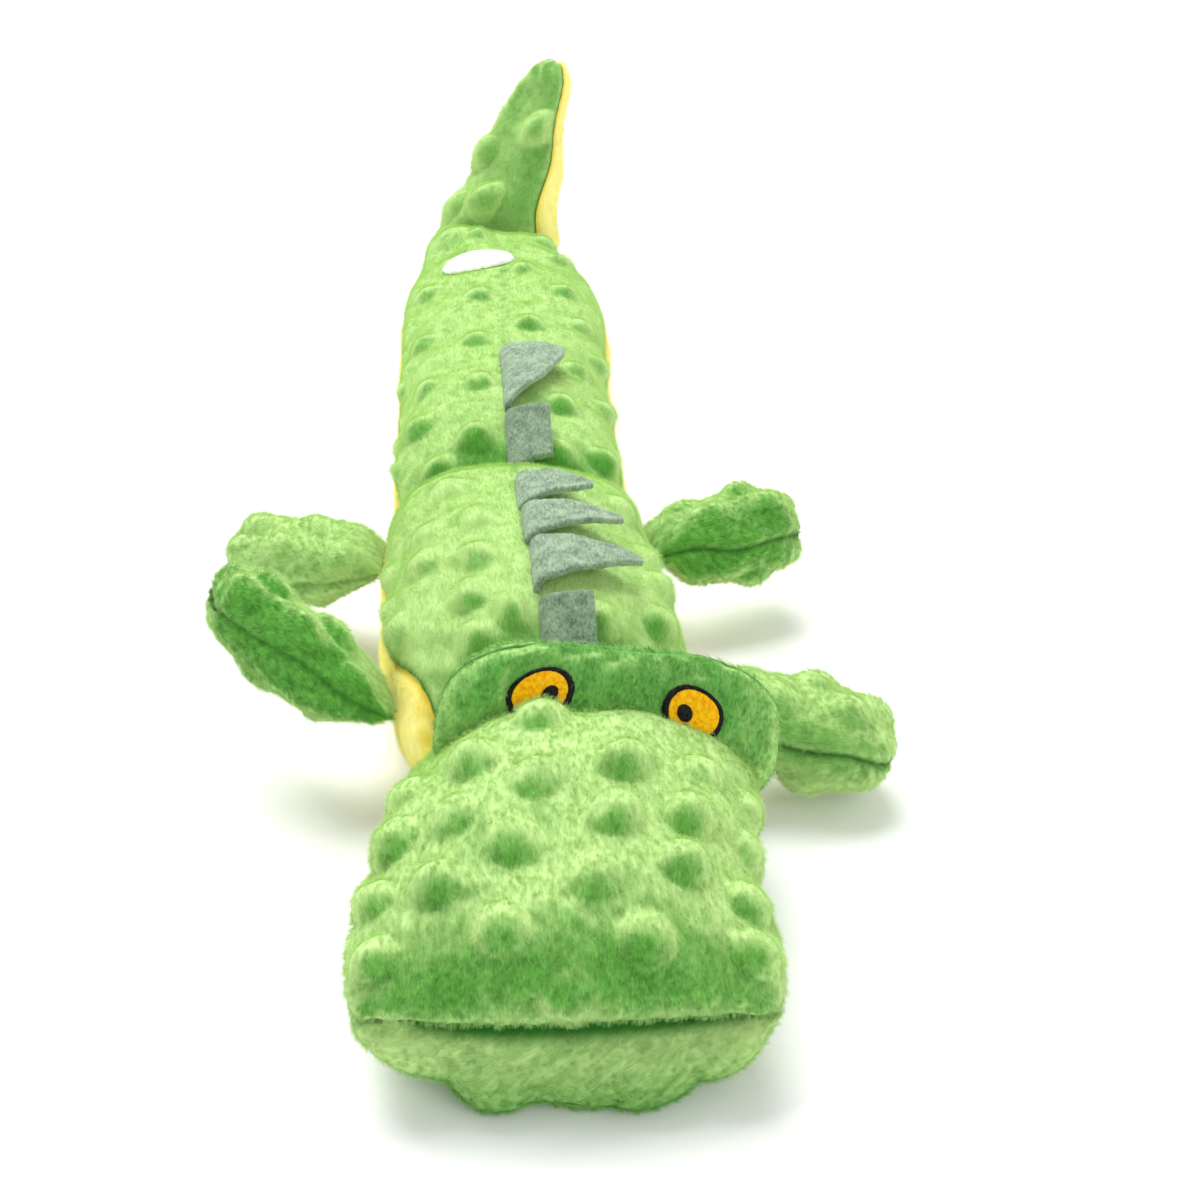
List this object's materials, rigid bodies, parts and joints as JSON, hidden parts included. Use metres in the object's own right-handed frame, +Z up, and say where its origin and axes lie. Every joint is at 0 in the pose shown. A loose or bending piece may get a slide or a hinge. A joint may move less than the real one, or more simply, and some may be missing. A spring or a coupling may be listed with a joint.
{
  "type": "plush crocodile dog toy",
  "caption": "Long stuffed plush crocodile for a dog to carry and squeeze: dotted back, felt fins, hinged legs, squeakers and a tail tip folded up.",
  "frame": {"origin": "on the floor, under the middle of the bounding box", "axes": "+Z up, +Y from the nose to the tail, +X to the crocodile's left"},
  "size_m": [0.1806, 0.5098, 0.0937],
  "materials": {
    "dotted_plush": "short-pile plush with raised dots, yellow-green",
    "brow_plush": "smooth short-pile plush, darker green",
    "belly_plush": "smooth short-pile plush, yellow",
    "felt": "pressed felt, grey-green",
    "iris_thread": "satin-stitched embroidery thread, orange",
    "black_thread": "satin-stitched embroidery thread, black",
    "ribbon": "woven ribbon, white and bare",
    "filling": "polyester fibre filling",
    "squeaker_plastic": "soft blown plastic, off-white"
  },
  "bodies": {
    "head": {"snout_panel": "dotted_plush", "jaw_panel": "dotted_plush", "head_lower_filling": "filling", "head_upper_filling": "filling", "head_squeaker_bladder": "squeaker_plastic", "head_squeaker_reed": "squeaker_plastic", "brow_front_panel": "brow_plush", "brow_back_panel": "brow_plush", "brow_filling": "filling", "left_eye_outline": "black_thread", "left_eye_iris": "iris_thread", "left_eye_pupil": "black_thread", "right_eye_outline": "black_thread", "right_eye_iris": "iris_thread", "right_eye_pupil": "black_thread"},
    "torso": {"torso_left_back_panel": "dotted_plush", "torso_right_back_panel": "dotted_plush", "torso_belly_panel": "belly_plush", "torso_lower_filling": "filling", "torso_upper_filling": "filling", "torso_squeaker_bladder": "squeaker_plastic", "torso_squeaker_reed": "squeaker_plastic"},
    "tail": {"tail_left_back_panel": "dotted_plush", "tail_right_back_panel": "dotted_plush", "tail_belly_panel": "belly_plush", "tail_filling": "filling", "tail_label": "ribbon"},
    "tail_tip": {"tail_tip_top_panel": "dotted_plush", "tail_tip_belly_panel": "belly_plush", "tail_tip_filling": "filling"},
    "front_left_leg": {"front_left_leg_upper_panel": "dotted_plush", "front_left_leg_lower_panel": "dotted_plush", "front_left_leg_filling": "filling"},
    "front_right_leg": {"front_right_leg_upper_panel": "dotted_plush", "front_right_leg_lower_panel": "dotted_plush", "front_right_leg_filling": "filling"},
    "rear_left_leg": {"rear_left_leg_upper_panel": "dotted_plush", "rear_left_leg_lower_panel": "dotted_plush", "rear_left_leg_filling": "filling"},
    "rear_right_leg": {"rear_right_leg_upper_panel": "dotted_plush", "rear_right_leg_lower_panel": "dotted_plush", "rear_right_leg_filling": "filling"},
    "back_fin_1": {"back_fin_1": "felt"},
    "back_fin_2": {"back_fin_2": "felt"},
    "back_fin_3": {"back_fin_3": "felt"},
    "back_fin_4": {"back_fin_4": "felt"},
    "back_fin_5": {"back_fin_5": "felt"},
    "back_fin_6": {"back_fin_6": "felt"}
  },
  "joints": [
    {"name": "neck_bend", "type": "hinge", "parent": "torso", "child": "head", "pos_m": [0.00167, -0.15872, 0.0235], "axis": [-1, 0, 0], "range_deg": [-15, 18]},
    {"name": "hip_bend", "type": "hinge", "parent": "torso", "child": "tail", "pos_m": [-0.00473, -0.03402, 0.0235], "axis": [1, 0, 0], "range_deg": [-15, 30]},
    {"name": "tail_tip_fold", "type": "hinge", "parent": "tail", "child": "tail_tip", "pos_m": [-0.00433, 0.21968, 0.0181], "axis": [1, 0, 0], "range_deg": [-68, 20]},
    {"name": "front_left_leg_swing", "type": "hinge", "parent": "torso", "child": "front_left_leg", "pos_m": [0.03817, -0.13853, 0.02755], "axis": [-0.0729, -0.9973, 0], "range_deg": [-12, 46]},
    {"name": "front_right_leg_swing", "type": "hinge", "parent": "torso", "child": "front_right_leg", "pos_m": [-0.04181, -0.13109, 0.02809], "axis": [-0.1526, 0.9883, 0], "range_deg": [-50, 12]},
    {"name": "rear_left_leg_swing", "type": "hinge", "parent": "torso", "child": "rear_left_leg", "pos_m": [0.0344, -0.05173, 0.028], "axis": [0.0534, -0.9986, 0], "range_deg": [-32, 30]},
    {"name": "rear_right_leg_swing", "type": "hinge", "parent": "torso", "child": "rear_right_leg", "pos_m": [-0.04419, -0.05421, 0.02811], "axis": [0.063, 0.998, 0], "range_deg": [-30, 30]},
    {"name": "back_fin_1_flap", "type": "hinge", "parent": "torso", "child": "back_fin_1", "pos_m": [-0.00106, -0.14136, 0.05232], "axis": [0, 0.7967, 0.6044], "range_deg": [-140, 6]},
    {"name": "back_fin_2_flap", "type": "hinge", "parent": "torso", "child": "back_fin_2", "pos_m": [-0.00228, -0.11925, 0.06091], "axis": [0, 0.9927, 0.1208], "range_deg": [-153, 2]},
    {"name": "back_fin_3_flap", "type": "hinge", "parent": "torso", "child": "back_fin_3", "pos_m": [-0.00356, -0.09804, 0.0615], "axis": [0, 0.9992, -0.0402], "range_deg": [-152, 2]},
    {"name": "back_fin_4_flap", "type": "hinge", "parent": "torso", "child": "back_fin_4", "pos_m": [-0.00442, -0.07698, 0.06037], "axis": [0, 0.9996, -0.0274], "range_deg": [-152, 2]},
    {"name": "back_fin_5_flap", "type": "hinge", "parent": "tail", "child": "back_fin_5", "pos_m": [-0.00473, -0.01152, 0.045], "axis": [0, 0.9202, 0.3914], "range_deg": [-142, 6]},
    {"name": "back_fin_6_flap", "type": "hinge", "parent": "tail", "child": "back_fin_6", "pos_m": [-0.00448, 0.02965, 0.04922], "axis": [0, 0.9992, -0.0403], "range_deg": [-150, 2]}
  ]
}
